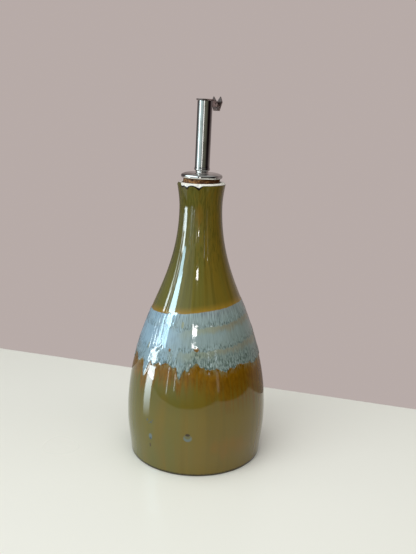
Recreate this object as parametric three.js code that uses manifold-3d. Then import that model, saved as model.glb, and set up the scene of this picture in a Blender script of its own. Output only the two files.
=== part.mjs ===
// Stoneware oil cruet with a cork-seated steel pourer, in millimetres.
// +Z is up. The origin is the centre of the foot, on the surface that the bottle stands on.
// The viewer is on the -Y side, with +X to the right.
import * as THREE from "three";
import { mergeVertices } from "three/addons/utils/BufferGeometryUtils.js";
import Module from "manifold-3d";

// Bottle: the stations of its thrown outline, from the foot up.
// lean is the radius gained per millimetre climbed. below and above say how far that direction
// carries into the stretch on either side, as a share of the stretch's height.
const MOUTH_HEIGHT = 193.5; // top of the lip, and the height of the bottle
const LIP_EDGE = 1.6; // rounding of the lip
const FOOT_EDGE = 0.8; // rounding where the wall meets the table
const FOOT = { radius: 47, height: FOOT_EDGE, lean: 0.06, above: 0.3 };
const BELLY = { radius: 49.5, height: 30, lean: 0, below: 0.42, above: 0.29 };
const SHOULDER = { radius: 30.7, height: 110.8, lean: -0.425, below: 0.42, above: 0.26 };
const NECK = { radius: 14.6, height: 177, lean: 0, below: 0.43, above: 0.3 };
const LIP = { radius: 16.3, height: MOUTH_HEIGHT - LIP_EDGE, lean: 0.2, below: 0.3 };
const MOUTH_RADIUS = 12.9;

// Chips in the lip's outer edge: degrees from the front, width, depth into the wall and drop
const CHIPS = [
  { bearing: -47, width: 5.0, depth: 0.9, drop: 2.3 },
  { bearing: -36, width: 6.2, depth: 1.3, drop: 3.3 },
  { bearing: -6, width: 6.8, depth: 1.5, drop: 3.7 },
];

// Stopper and pourer: all of it leans a little to the right about the mouth's centre
const STOPPER_LEAN = 1.2; // degrees
const SEAT_GAP = 0.2; // between pieces that bear on each other
const CORK_RADIUS = 12.4; // at the lip
const CORK_END_RADIUS = 11.6;
const CORK_EDGE = 0.5; // bevel of both ends
const CORK_DEPTH = 20; // below the lip, hidden in the neck
const CORK_SHOW = 2.4; // above the lip
const SOCKET_FLOOR_GAP = 1; // under the cork
const FLANGE_RADIUS = 14;
const FLANGE_EDGE = 1.45; // rounding of the flange's edge
const FLANGE_DOME = 0.5; // rise of the flange's top towards the tube
const DOME_START = 3; // in from the flange's edge
const TUBE_RADIUS = 5;
const TUBE_WALL = 0.6;
const TUBE_LENGTH = 47;
const TUBE_EDGE = 0.2; // bevel of the rim
const TUBE_FOOT_RADIUS = 4.3; // drawn in where the tube meets the flange
const TUBE_FOOT = 0.7; // height of the drawn-in foot
const BEAD = { radius: 5.3, height: 2.6, half: 1.3 }; // ring above the tube's foot
const BEAD_FADE = 0.5; // from the bead's top to the plain tube

// Hinge and flap, measured from the tube's axis and from its rim
const HINGE_BEARING = 44; // degrees from +X, towards the back
const PIN_REACH = 8.6;
const PIN_DROP = 1.9;
const PIN_RADIUS = 0.6;
const PIN_HEAD = { radius: 1, top: 0.7, thickness: 0.4 };
const PLAY = 0.15; // between the hinge's pieces
const CHEEK_GAP = 3; // between the bracket's two cheeks
const CHEEK = 0.7; // thickness of a cheek
const CHEEK_END = 1.75; // rounding of a cheek about the pin
const SHEET = 0.8; // thickness of the flap's steel
const LID_RADIUS = 5.8;
const LID_LIFT = 0.2;
const STRAP_WIDTH = 2.6;
const STRAP_BEND = 6.6; // where the strap leaves the lid's level
const STRAP_DIP = 1.7; // drop of the strap between lid and tail
const KNUCKLE_RADIUS = 1.2;
const KNUCKLE_WIDTH = 2.4;
const TAIL_REACH = 11;
const TAIL_FOOT = { half: 2.6, height: -6.2 };
const TAIL_HIP = { half: 5, height: -0.5 };
const TAIL_HORN = { half: 3.2, height: 3.1 };
const TAIL_NOTCH = { half: 0, height: -0.6 };

// Facets
const BODY_SIDES = 72;
const STOPPER_SIDES = 48;
const PIN_SIDES = 28;
const CHIP_SIDES = 16;
const ARC_STEPS = 5;
const END_STEPS = 12;
const WALL_STEP = 7; // climb between two points of the bottle's wall

const QUARTER = Math.PI / 2;
const FLANGE_THICKNESS = 2 * FLANGE_EDGE + FLANGE_DOME;
const FLANGE_SEAT = CORK_SHOW + SEAT_GAP;
const TUBE_SEAT = FLANGE_SEAT + FLANGE_THICKNESS + SEAT_GAP;
const BRACKET_WIDTH = CHEEK_GAP + 2 * CHEEK;

const wasm = await Module();
wasm.setup();

const glaze = new THREE.MeshStandardMaterial({ color: 0x6f6a35, roughness: 0.2, metalness: 0 });
const corkwood = new THREE.MeshStandardMaterial({ color: 0x8a5a30, roughness: 0.85, metalness: 0 });
const steel = new THREE.MeshStandardMaterial({ color: 0xb8babb, roughness: 0.2, metalness: 1 });

function named(name, geometry, material) {
  const mesh = new THREE.Mesh(geometry, material);
  mesh.name = name;
  return mesh;
}

// A point of a turned outline, or of a plate: x and height
function at(x, height) {
  return new THREE.Vector2(x, height);
}

// A solid turned about +Z from an outline of radius and height
function turned(outline, sides) {
  return new THREE.LatheGeometry(outline, sides).rotateX(QUARTER);
}

// Points of a rounded corner, from one angle to another about its centre
function corner(centre, width, height, from, to) {
  const arc = new THREE.EllipseCurve(centre.x, centre.y, width, height, from, to, to < from);
  return arc.getPoints(ARC_STEPS);
}

// Points of the smooth stretch of wall between two stations
function stretch(low, high) {
  const climb = high.height - low.height;
  const rise = low.above * climb;
  const fall = high.below * climb;
  const curve = new THREE.CubicBezierCurve(
    at(low.radius, low.height),
    at(low.radius + low.lean * rise, low.height + rise),
    at(high.radius - high.lean * fall, high.height - fall),
    at(high.radius, high.height),
  );
  return curve.getPoints(Math.ceil(climb / WALL_STEP) + 1);
}

// A closed geometry as a solid that can be joined or cut
function solid(geometry) {
  const bare = geometry.clone();
  bare.deleteAttribute("normal");
  bare.deleteAttribute("uv");
  const merged = mergeVertices(bare, 1e-3);
  const vertProperties = merged.attributes.position.array;
  const triVerts = new Uint32Array(merged.index.array);
  return new wasm.Manifold(new wasm.Mesh({ numProp: 3, vertProperties, triVerts }));
}

// A joined or cut solid as a geometry
function surface(body) {
  const mesh = body.getMesh();
  const geometry = new THREE.BufferGeometry();
  geometry.setAttribute("position", new THREE.BufferAttribute(mesh.vertProperties, 3));
  geometry.setIndex(new THREE.BufferAttribute(mesh.triVerts, 1));
  geometry.computeVertexNormals();
  return geometry;
}

// A round bar along Y, centred on the hinge pin
function pinBar(radius, length) {
  const bar = new THREE.CylinderGeometry(radius, radius, length, PIN_SIDES);
  return bar.translate(PIN_REACH, 0, -PIN_DROP);
}

// A block centred on the middle plane of the hinge
function block(length, width, height, x, z) {
  return new THREE.BoxGeometry(length, width, height).translate(x, 0, z);
}

// A plate drawn in the X-Z plane, with its width centred across Y
function plate(shape, width) {
  const options = { depth: width, bevelEnabled: false, curveSegments: END_STEPS };
  const geometry = new THREE.ExtrudeGeometry(shape, options);
  return geometry.rotateX(QUARTER).translate(0, width / 2, 0);
}

// The hollow that one chip leaves: a flattened ball centred on the lip's outer edge
function chipHollow({ bearing, width, depth, drop }) {
  const ball = new THREE.SphereGeometry(1, CHIP_SIDES, CHIP_SIDES);
  ball.rotateX(QUARTER);
  ball.scale(width / 2, depth, drop);
  ball.translate(0, -LIP.radius, MOUTH_HEIGHT);
  return ball.rotateZ(THREE.MathUtils.degToRad(bearing));
}

// Bottle: it can't be seen into, so it is solid below the socket that holds the cork
function bottle() {
  const footCentre = at(FOOT.radius - FOOT_EDGE, FOOT_EDGE);
  const outerCentre = at(LIP.radius - LIP_EDGE, LIP.height);
  const innerEdge = LIP_EDGE / 2;
  const innerCentre = at(MOUTH_RADIUS + innerEdge, MOUTH_HEIGHT - innerEdge);
  const socketFloor = MOUTH_HEIGHT - CORK_DEPTH - SOCKET_FLOOR_GAP;
  const outline = [
    at(0, 0),
    ...corner(footCentre, FOOT_EDGE, FOOT_EDGE, -QUARTER, 0),
    ...stretch(FOOT, BELLY).slice(1),
    ...stretch(BELLY, SHOULDER).slice(1),
    ...stretch(SHOULDER, NECK).slice(1),
    ...stretch(NECK, LIP).slice(1),
    ...corner(outerCentre, LIP_EDGE, LIP_EDGE, 0, QUARTER).slice(1),
    ...corner(innerCentre, innerEdge, innerEdge, QUARTER, Math.PI),
    at(MOUTH_RADIUS, socketFloor),
    at(0, socketFloor),
  ];
  let body = solid(turned(outline, BODY_SIDES));
  for (const chip of CHIPS) {
    body = body.subtract(solid(chipHollow(chip)));
  }
  return named("bottle", surface(body), glaze);
}

// Tapered cork: its end is down in the neck, and its top meets the flange
function cork() {
  const outline = [
    at(0, -CORK_DEPTH),
    at(CORK_END_RADIUS - CORK_EDGE, -CORK_DEPTH),
    at(CORK_END_RADIUS, -CORK_DEPTH + CORK_EDGE),
    at(CORK_RADIUS, 0),
    at(CORK_RADIUS, CORK_SHOW - CORK_EDGE),
    at(CORK_RADIUS - CORK_EDGE / 2, CORK_SHOW),
    at(0, CORK_SHOW),
  ];
  return named("cork", turned(outline, STOPPER_SIDES), corkwood);
}

// Pressed steel flange with a round edge and a slightly domed top
function flange() {
  const edgeCentre = at(FLANGE_RADIUS - FLANGE_EDGE, FLANGE_EDGE);
  const outline = [
    at(0, 0),
    ...corner(edgeCentre, FLANGE_EDGE, FLANGE_EDGE, -QUARTER, QUARTER),
    at(FLANGE_RADIUS - DOME_START, FLANGE_THICKNESS - FLANGE_DOME / 2),
    at(TUBE_RADIUS, FLANGE_THICKNESS),
    at(0, FLANGE_THICKNESS),
  ];
  const mesh = named("flange", turned(outline, STOPPER_SIDES), steel);
  mesh.position.z = FLANGE_SEAT;
  return mesh;
}

// Straight tube, open at both ends, with a bead above its drawn-in foot
function pourTube() {
  const bore = TUBE_RADIUS - TUBE_WALL;
  const footBore = TUBE_FOOT_RADIUS - TUBE_WALL;
  const beadCentre = at(TUBE_FOOT_RADIUS, BEAD.height);
  const beadTop = BEAD.height + BEAD.half;
  const outline = [
    at(footBore, 0),
    at(TUBE_FOOT_RADIUS, 0),
    at(TUBE_FOOT_RADIUS, TUBE_FOOT),
    ...corner(beadCentre, BEAD.radius - TUBE_FOOT_RADIUS, BEAD.half, -QUARTER, QUARTER / 2),
    at(TUBE_RADIUS, beadTop + BEAD_FADE),
    at(TUBE_RADIUS, TUBE_LENGTH - TUBE_EDGE),
    at(TUBE_RADIUS - TUBE_EDGE, TUBE_LENGTH),
    at(bore, TUBE_LENGTH),
    at(bore, beadTop + BEAD_FADE),
    at(footBore, TUBE_FOOT),
    at(footBore, 0),
  ];
  const mesh = named("pour_tube", turned(outline, STOPPER_SIDES), steel);
  mesh.position.z = TUBE_SEAT;
  return mesh;
}

// Bracket on the tube's side: two round-ended cheeks joined by a web that fits the tube
function hingeBracket() {
  const low = -PIN_DROP - CHEEK_END;
  const shape = new THREE.Shape();
  shape.moveTo(0, low);
  shape.lineTo(PIN_REACH, low);
  shape.absarc(PIN_REACH, -PIN_DROP, CHEEK_END, -QUARTER, QUARTER, false);
  shape.lineTo(0, CHEEK_END - PIN_DROP);
  const room = TUBE_RADIUS + PLAY;
  const gapMiddle = room + CHEEK + PIN_REACH / 2;
  const gap = block(PIN_REACH, CHEEK_GAP, 4 * CHEEK_END, gapMiddle, -PIN_DROP);
  const tubeRoom = new THREE.CylinderGeometry(room, room, TUBE_LENGTH, STOPPER_SIDES);
  const body = solid(plate(shape, BRACKET_WIDTH))
    .subtract(solid(gap))
    .subtract(solid(tubeRoom.rotateX(QUARTER)))
    .subtract(solid(pinBar(PIN_RADIUS + PLAY, 2 * BRACKET_WIDTH)));
  return named("hinge_bracket", surface(body), steel);
}

// Headed pin through the cheeks and the flap's knuckle
function hingePin() {
  const half = BRACKET_WIDTH / 2 + PLAY;
  const end = half + PIN_HEAD.thickness;
  const outline = [
    at(0, -end),
    at(PIN_HEAD.top, -end),
    at(PIN_HEAD.radius, -half),
    at(PIN_RADIUS, -half),
    at(PIN_RADIUS, half),
    at(PIN_HEAD.radius, half),
    at(PIN_HEAD.top, end),
    at(0, end),
  ];
  const mesh = named("hinge_pin", new THREE.LatheGeometry(outline, PIN_SIDES), steel);
  mesh.position.set(PIN_REACH, 0, -PIN_DROP);
  return mesh;
}

function lid() {
  const disc = new THREE.CylinderGeometry(LID_RADIUS, LID_RADIUS, SHEET, STOPPER_SIDES);
  return disc.rotateX(QUARTER).translate(0, 0, LID_LIFT + SHEET / 2);
}

// Strap from the lid over the hinge to the tail
function strap() {
  const end = LID_LIFT - STRAP_DIP;
  const shape = new THREE.Shape([
    at(0, LID_LIFT),
    at(STRAP_BEND, LID_LIFT),
    at(TAIL_REACH, end),
    at(TAIL_REACH, end + SHEET),
    at(STRAP_BEND, LID_LIFT + SHEET),
    at(0, LID_LIFT + SHEET),
  ]);
  return plate(shape, STRAP_WIDTH);
}

// Upright tail with a notched top, square to the strap
function tail() {
  const right = [TAIL_FOOT, TAIL_HIP, TAIL_HORN];
  const left = [...right].reverse();
  const shape = new THREE.Shape([
    ...right.map(({ half, height }) => at(half, height)),
    at(TAIL_NOTCH.half, TAIL_NOTCH.height),
    ...left.map(({ half, height }) => at(-half, height)),
  ]);
  return plate(shape, SHEET).rotateZ(QUARTER).translate(TAIL_REACH, 0, 0);
}

// Flap: lid, strap, knuckle round the pin, and a forked tail that swings it open in pouring
function flap() {
  const webHeight = PIN_DROP + LID_LIFT - STRAP_DIP / 2;
  const web = block(2 * KNUCKLE_RADIUS, KNUCKLE_WIDTH, webHeight, PIN_REACH, webHeight / 2 - PIN_DROP);
  const body = solid(lid())
    .add(solid(strap()))
    .add(solid(tail()))
    .add(solid(pinBar(KNUCKLE_RADIUS, KNUCKLE_WIDTH)))
    .add(solid(web))
    .subtract(solid(pinBar(PIN_RADIUS + PLAY, 2 * KNUCKLE_WIDTH)));
  return named("flap", surface(body), steel);
}

const hinge = new THREE.Group();
hinge.position.z = TUBE_SEAT + TUBE_LENGTH;
hinge.rotation.z = THREE.MathUtils.degToRad(HINGE_BEARING);
hinge.add(hingeBracket(), hingePin(), flap());

const pourer = new THREE.Group();
pourer.position.z = MOUTH_HEIGHT;
pourer.rotation.y = THREE.MathUtils.degToRad(STOPPER_LEAN);
pourer.add(cork(), flange(), pourTube(), hinge);

const cruet = new THREE.Group();
cruet.add(bottle(), pourer);

export default cruet;
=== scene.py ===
# %% [markdown]
# # A stoneware oil cruet
# The real thing is a thrown stoneware bottle: olive glaze, and round its shoulder a pale blue band
# that ran in the kiln. A steel pourer stands in its neck on a cork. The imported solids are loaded
# first as a fixed frame, in metres, so each piece below goes straight to its place.

# %% Load the frame
import math
from collections import namedtuple
from functools import partialmethod
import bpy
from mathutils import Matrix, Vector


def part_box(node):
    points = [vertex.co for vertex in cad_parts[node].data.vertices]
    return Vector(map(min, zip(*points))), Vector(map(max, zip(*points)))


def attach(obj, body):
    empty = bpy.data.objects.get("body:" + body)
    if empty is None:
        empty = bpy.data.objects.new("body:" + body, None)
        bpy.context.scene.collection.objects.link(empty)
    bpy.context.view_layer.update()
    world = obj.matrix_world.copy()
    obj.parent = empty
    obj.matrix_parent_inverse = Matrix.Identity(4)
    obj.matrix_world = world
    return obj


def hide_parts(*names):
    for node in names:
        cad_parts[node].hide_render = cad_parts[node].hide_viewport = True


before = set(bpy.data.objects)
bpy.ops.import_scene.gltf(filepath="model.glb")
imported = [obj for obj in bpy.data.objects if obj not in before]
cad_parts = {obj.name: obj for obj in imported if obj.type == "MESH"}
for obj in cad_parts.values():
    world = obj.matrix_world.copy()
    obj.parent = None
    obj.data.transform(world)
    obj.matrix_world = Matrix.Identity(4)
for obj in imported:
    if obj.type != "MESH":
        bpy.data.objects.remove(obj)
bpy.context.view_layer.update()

from types import SimpleNamespace

import bmesh
import bpy
from mathutils import Matrix, Vector

MM = 0.001

# %% [markdown]
# ## Node trees written as sums
# Glaze rules are long sums, and wiring them by hand hides the thought. So one small class wraps
# a socket: Python operators add Math nodes, and one method adds any other node. The same rules
# can then run in a shader and in Geometry Nodes.

# %% A socket that can be used in sums
class Wire:
    """One output socket of a node tree."""

    def __init__(self, socket):
        self.socket = socket
        self.tree = socket.id_data

    @staticmethod
    def node(tree, kind, settings=None, sockets=None, output=0):
        """Add a node: its settings first, then the value or link of each socket."""
        made = tree.nodes.new(kind)
        for name, setting in (settings or {}).items():
            if name == "stops":
                Wire.set_stops(made.color_ramp, setting)
            else:
                setattr(made, name, setting)
        for key, value in (sockets or {}).items():
            if isinstance(value, Wire):
                tree.links.new(value.socket, made.inputs[key])
            else:
                made.inputs[key].default_value = value
        return Wire(made.outputs[output]) if made.outputs else None

    @staticmethod
    def set_stops(ramp, stops):
        """Give a colour ramp its stops, as pairs of position and colour."""
        while len(ramp.elements) < len(stops):
            ramp.elements.new(1.0)
        for element, (position, colour) in zip(ramp.elements, stops):
            element.position = position
            element.color = (*colour, 1.0)

    def math(self, operation, *others):
        operands = dict(enumerate((self, *others)))
        return Wire.node(self.tree, "ShaderNodeMath", {"operation": operation}, operands)

    def reflected(self, operation, other):
        return Wire.node(self.tree, "ShaderNodeMath", {"operation": operation}, {0: other, 1: self})

    __add__ = __radd__ = partialmethod(math, "ADD")
    __mul__ = __rmul__ = partialmethod(math, "MULTIPLY")
    __sub__ = partialmethod(math, "SUBTRACT")
    __rsub__ = partialmethod(reflected, "SUBTRACT")
    __truediv__ = partialmethod(math, "DIVIDE")
    __rtruediv__ = partialmethod(reflected, "DIVIDE")
    __pow__ = partialmethod(math, "POWER")
    __rpow__ = partialmethod(reflected, "POWER")
    __neg__ = partialmethod(math, "MULTIPLY", -1.0)

# %% Small words for the rules
DEGREES = 180 / math.pi
MIX_A, MIX_B, MIX_RESULT = 6, 7, 2  # colour sockets of a Mix node


def smooth(value, start, end):
    """0 before start, 1 after end, and a soft step between. start may lie above end."""
    sockets = {"Value": value, "From Min": start, "From Max": end}
    return Wire.node(value.tree, "ShaderNodeMapRange", {"interpolation_type": "SMOOTHSTEP"}, sockets)


def colour(value):
    """A colour as a socket takes it: a link stays as it is."""
    return value if isinstance(value, Wire) else (*value, 1.0)


def mixed(share, first, second):
    """The first colour, with a share of the second laid over it."""
    sockets = {0: share, MIX_A: colour(first), MIX_B: colour(second)}
    return Wire.node(share.tree, "ShaderNodeMix", {"data_type": "RGBA"}, sockets, MIX_RESULT)


def coats(tint, layers):
    """A colour with layers over it, each a share and its paint."""
    for share, paint in layers:
        tint = mixed(share, tint, paint)
    return tint


def vector(tree, x, y, z):
    return Wire.node(tree, "ShaderNodeCombineXYZ", None, {0: x, 1: y, 2: z})


def split(point):
    """The x, y and z of a vector."""
    made = Wire.node(point.tree, "ShaderNodeSeparateXYZ", None, {0: point}).socket.node
    return [Wire(socket) for socket in made.outputs]


def scaled(point, factor):
    settings = {"operation": "SCALE"}
    return Wire.node(point.tree, "ShaderNodeVectorMath", settings, {0: point, "Scale": factor})


def noise(point, seed, detail=2.0, roughness=0.5):
    """Cloudy values from 0 to 1. The seed picks one of many alike patterns."""
    sockets = {"Vector": point, "W": seed, "Scale": 1.0, "Detail": detail, "Roughness": roughness}
    return Wire.node(point.tree, "ShaderNodeTexNoise", {"noise_dimensions": "4D"}, sockets)

# %% [markdown]
# ## The thrown outline
# A thrown pot is one outline turned on a wheel. Screw and Spin modifiers could turn it, but a
# Geometry Nodes tree keeps rows and columns in order, closes its own seam and poles, and turns
# the cork, the flange and the tube as well. The outline needs only five stations: foot, belly,
# shoulder, neck and lip, with the direction that the wall takes at each one.

# %% Outline of the bottle
bottle_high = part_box("bottle")[1]
MOUTH_HEIGHT = bottle_high.z / MM
BELLY_RADIUS = bottle_high.x / MM
LIP_EDGE = 1.6
FOOT_EDGE = 0.8
MOUTH_RADIUS = 12.9
SOCKET_DEPTH = 21.0
# lean is the radius gained per millimetre climbed; below and above say how far it carries
Station = namedtuple("Station", "radius height lean below above", defaults=(0.0, 0.0))
FOOT = Station(47.0, FOOT_EDGE, 0.06, above=0.3)
BELLY = Station(BELLY_RADIUS, 30.0, 0.0, below=0.42, above=0.29)
SHOULDER = Station(30.7, 110.8, -0.425, below=0.42, above=0.26)
NECK = Station(14.6, 177.0, 0.0, below=0.43, above=0.3)
LIP = Station(16.3, MOUTH_HEIGHT - LIP_EDGE, 0.2, below=0.3)


def stretch(low, high, rows):
    """Points of a Bezier curve between two stations, without the lower one."""
    climb = high.height - low.height
    rise = low.above * climb
    fall = high.below * climb
    start = Vector((low.radius, low.height))
    leaving = Vector((low.radius + low.lean * rise, low.height + rise))
    arriving = Vector((high.radius - high.lean * fall, high.height - fall))
    end = Vector((high.radius, high.height))
    points = []
    for row in range(1, rows + 1):
        t = row / rows
        s = 1 - t
        lower = s**3 * start + 3 * s * s * t * leaving
        point = lower + 3 * s * t * t * arriving + t**3 * end
        points.append(tuple(point))
    return points


def corner(radius, height, reach, start, end, rows, rise=None):
    """Points of a rounded corner about (radius, height), from one angle to another in degrees."""
    points = []
    for row in range(rows + 1):
        angle = (start + (end - start) * row / rows) / DEGREES
        points.append((radius + reach * math.cos(angle), height + (rise or reach) * math.sin(angle)))
    return points


inner_edge = LIP_EDGE / 2
bottle_outline = [
    (0.0, 0.0),
    (FOOT.radius / 2, 0.0),
    (FOOT.radius - 3 * FOOT_EDGE, 0.0),
    *corner(FOOT.radius - FOOT_EDGE, FOOT_EDGE, FOOT_EDGE, -90, 0, rows=5),
    *stretch(FOOT, BELLY, rows=20),
    *stretch(BELLY, SHOULDER, rows=132),
    *stretch(SHOULDER, NECK, rows=44),
    *stretch(NECK, LIP, rows=14),
    *corner(LIP.radius - LIP_EDGE, LIP.height, LIP_EDGE, 0, 90, rows=12)[1:],
    *corner(MOUTH_RADIUS + inner_edge, MOUTH_HEIGHT - inner_edge, inner_edge, 90, 180, rows=6),
    (MOUTH_RADIUS, MOUTH_HEIGHT - SOCKET_DEPTH / 2),
    (MOUTH_RADIUS, MOUTH_HEIGHT - SOCKET_DEPTH),
    (0.0, MOUTH_HEIGHT - SOCKET_DEPTH),
]
print("bottle outline:", len(bottle_outline), "points, mouth at", round(MOUTH_HEIGHT, 2), "mm")

# %% [markdown]
# ## A tree that turns an outline
# The tree gets the outline as a chain of points. It makes a flat grid with one row for each
# point and one column for each step round, reads the row's point back and swings it about the
# axis. Merging by distance then closes the seam and the poles.

# %% Turning tree
SEAM = 1e-6


def new_tree(name, sockets):
    """A tree and its inputs by name. The geometry that it gives is its one output."""
    tree = bpy.data.node_groups.new(name, "GeometryNodeTree")
    for label, kind in sockets.items():
        tree.interface.new_socket(name=label, in_out="INPUT", socket_type="NodeSocket" + kind)
    tree.interface.new_socket(name="Geometry", in_out="OUTPUT", socket_type="NodeSocketGeometry")
    entry = tree.nodes.new("NodeGroupInput")
    return tree, {label: Wire(entry.outputs[label]) for label in sockets}


def shaped(tree, kind, sockets=None, settings=None):
    """A node that only Geometry Nodes have."""
    return Wire.node(tree, "GeometryNode" + kind, settings, sockets)


def finish_tree(tree, geometry, material):
    """End a tree: no instances are left, and the finish is set."""
    real = shaped(tree, "RealizeInstances", {"Geometry": geometry})
    painted = shaped(tree, "SetMaterial", {"Geometry": real, "Material": material})
    Wire.node(tree, "NodeGroupOutput", None, {0: painted})


def turning_tree():
    tree, given = new_tree("turned piece", {"Outline": "Geometry", "Sides": "Int", "Material": "Material"})
    sides = given["Sides"]
    rows = shaped(tree, "AttributeDomainSize", {"Geometry": given["Outline"]})
    size = {"Size X": 1.0, "Size Y": 1.0, "Vertices X": sides + 1, "Vertices Y": rows}
    grid = shaped(tree, "MeshGrid", size)
    index = shaped(tree, "InputIndex")
    row = index.math("MODULO", rows)
    column = (index / rows).math("FLOOR")
    place = shaped(tree, "InputPosition")
    chain = {"Geometry": given["Outline"], "Value": place, "Index": row}
    settings = {"data_type": "FLOAT_VECTOR", "domain": "POINT"}
    radius, _, height = split(shaped(tree, "SampleIndex", chain, settings))
    angle = column / sides * math.tau
    swung = vector(tree, radius * angle.math("SINE"), -radius * angle.math("COSINE"), height)
    wall = shaped(tree, "SetPosition", {"Geometry": grid, "Position": swung})
    closed = shaped(tree, "MergeByDistance", {"Geometry": wall, "Distance": SEAM})
    soft = shaped(tree, "SetShadeSmooth", {"Geometry": closed, "Shade Smooth": True})
    finish_tree(tree, soft, given["Material"])
    return tree


turning = turning_tree()
print("turning tree:", len(turning.nodes), "nodes")

# %% Run trees on an outline
def placed(name, data):
    """A new object in the scene."""
    made = bpy.data.objects.new(name, data)
    bpy.context.scene.collection.objects.link(made)
    return made


def run_trees(name, outline, steps):
    """Make a piece from an outline in millimetres by trees with named inputs, as a plain mesh."""
    chain = bpy.data.meshes.new(name + " outline")
    links = [(i, i + 1) for i in range(len(outline) - 1)]
    chain.from_pydata([(x * MM, 0.0, z * MM) for x, z in outline], links, [])
    piece = placed(name, chain)
    for tree, values in steps:
        modifier = piece.modifiers.new(tree.name, "NODES")
        modifier.node_group = tree
        for item in tree.interface.items_tree:
            if item.in_out == "INPUT" and item.name in values:
                modifier[item.identifier] = values[item.name]
    return keep_plain(piece)


def keep_plain(piece):
    """Replace a piece's modifiers by the mesh that they make."""
    graph = bpy.context.evaluated_depsgraph_get()
    mesh = bpy.data.meshes.new_from_object(piece.evaluated_get(graph), depsgraph=graph)
    piece.modifiers.clear()
    piece.data = mesh
    mesh.name = piece.name
    print(piece.name, "has", len(mesh.vertices), "points and", len(mesh.loop_triangles), "triangles")
    return piece

# %% [markdown]
# ## Rules of the glaze
# On the real bottle a second, pale blue glaze was poured round the shoulder in three passes over
# the olive one. In the fire it ran: each pass ends in teeth, and the last in long drips. Paint
# could follow a drawn map, but then the relief would not agree with it. Here one set of rules,
# in millimetres and degrees from the front, gives both the thickness and the colour. A pair such
# as (80, 50) is a soft step, nothing at the first value and all at the second; pairs for a side
# or flank are sines of the bearing.

# %% Where a point lies on the bottle
GIRTH = 40.0  # radius at which widths of streaks are true


def around_bottle(point):
    """Bearings of a point given in metres."""
    x, y, height = split(scaled(point, 1 / MM))
    radius = (x * x + y * y) ** 0.5
    sine = x / radius
    cosine = -y / radius
    bearing = sine.math("ARCTAN2", cosine) * DEGREES
    return SimpleNamespace(radius=radius, height=height, sine=sine, cosine=cosine, bearing=bearing)


def streaks(here, width, length, seed, detail=2.0):
    """Noise drawn out up and down the wall, with no seam round the bottle."""
    around = GIRTH / width
    grain = vector(here.height.tree, here.sine * around, here.cosine * around, here.height / length)
    return noise(grain, seed, detail)

# %% Edges of the band
BAND_TOP = 109.4  # height of the upper edge, then of the lower edge of each pass
FIRST_EDGE = 101.0
SECOND_EDGE = 86.4
LAST_EDGE = 73.4
TILT = 3.8  # the whole band climbs to the right
TOP_FRONT = 1.1  # the outer edges stand higher in front than behind
LAST_FRONT = 2.4
LOBES = SimpleNamespace(top=0.7, first=4.0, second=6.0, last=8.0)  # how far broad lobes move an edge
TEETH = SimpleNamespace(first=3.5, second=3.0, last=3.0)  # how far fine teeth move it
RUN_POINT = 1.4  # higher makes runs more pointed
# Runs that show on each edge: bearing, half width in degrees, length. A notch has a negative one
FIRST_RUNS = [(-18, 10.0, 2.2), (-40, 8.0, -1.0)]
SECOND_RUNS = [(-36, 9.0, -2.6), (-21, 4.5, 6.0), (-49, 6.0, 3.0)]
LAST_RUNS = [
    (-66, 6.0, 2.0),
    (-52, 6.5, 9.5),
    (-30, 12.0, -2.0),
    (-15, 4.8, 7.6),
    (-8, 3.4, 3.0),
    (0, 4.4, -3.6),
    (24, 10.0, 2.2),
    (41, 5.0, -1.6),
    (62, 9.0, 1.6),
]
CHANCE_FROM = (70.0, 86.0)  # bearings at which runs begin to follow chance
CHANCE_RUN = 9.0
CHANCE_NOTCH = 2.0


def with_runs(here, edge, runs):
    """An edge's height, lowered where the glaze ran down."""
    for bearing, half, length in runs:
        tongue = smooth((here.bearing - bearing).math("ABSOLUTE"), half, 0.0)
        edge = edge - tongue**RUN_POINT * length
    return edge


def band_edges(here):
    """Heights above each edge of the band: positive is above the edge."""
    lobes = streaks(here, 3.4, 50, seed=11) - 0.5
    teeth = streaks(here, 1.1, 22, seed=12) - 0.5
    sway = streaks(here, 9, 60, seed=13) - 0.5
    chance = smooth(streaks(here, 6, 90, seed=14), 0.50, 0.70)
    behind = smooth(here.bearing.math("ABSOLUTE"), *CHANCE_FROM)
    slope = here.sine * TILT
    top = BAND_TOP + slope + here.cosine * TOP_FRONT + sway + lobes * LOBES.top
    first = FIRST_EDGE + slope + lobes * LOBES.first + teeth * TEETH.first
    second = SECOND_EDGE + slope + lobes * LOBES.second + teeth * TEETH.second
    last = LAST_EDGE + here.cosine * LAST_FRONT + lobes * LOBES.last + teeth * TEETH.last
    last = last - behind * (chance * CHANCE_RUN - CHANCE_NOTCH)
    return SimpleNamespace(
        top=here.height - top,
        first=here.height - with_runs(here, first, FIRST_RUNS),
        second=here.height - with_runs(here, second, SECOND_RUNS),
        last=here.height - with_runs(here, last, LAST_RUNS),
    )


print("edges of the band at", BAND_TOP, FIRST_EDGE, SECOND_EDGE, LAST_EDGE, "mm")

# %% [markdown]
# ## Relief of the glaze
# The band stands a third of a millimetre proud, with a bead along each edge, and the olive glaze
# has faint runs from top to bottom. These break up the reflections in the real wall, so they are
# made as shape and not only as shading.

# %% Beads and ripples of the band
ROLL_RISE = (-0.2, 0.9)  # heights above an edge over which its bead swells
ROLL_FALL = (5.0, 1.0)  # and over which it thins again
FIRST_BEAD = 0.6  # beads of the first and last edge as shares of the second's
LAST_BEAD = 0.9
EVEN_SPOT = -7.0  # bearing at which the edges lie flat
EVEN_REACH = (2.0, 9.0)  # degrees beside it
LEFT_FLANK = (-0.30, -0.60)
FLANK_LOSS = 0.5  # beads get lower there by this share
FOLD_FLANK = (-0.34, -0.53)
FOLD_ROWS = (-4.0, 1.0)
FOLD_HEIGHT = 12.0  # as a multiple of the ripples


def roll(above):
    """The thick bead of glaze that gathers just above an edge."""
    return smooth(above, *ROLL_RISE) * smooth(above, *ROLL_FALL)


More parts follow.
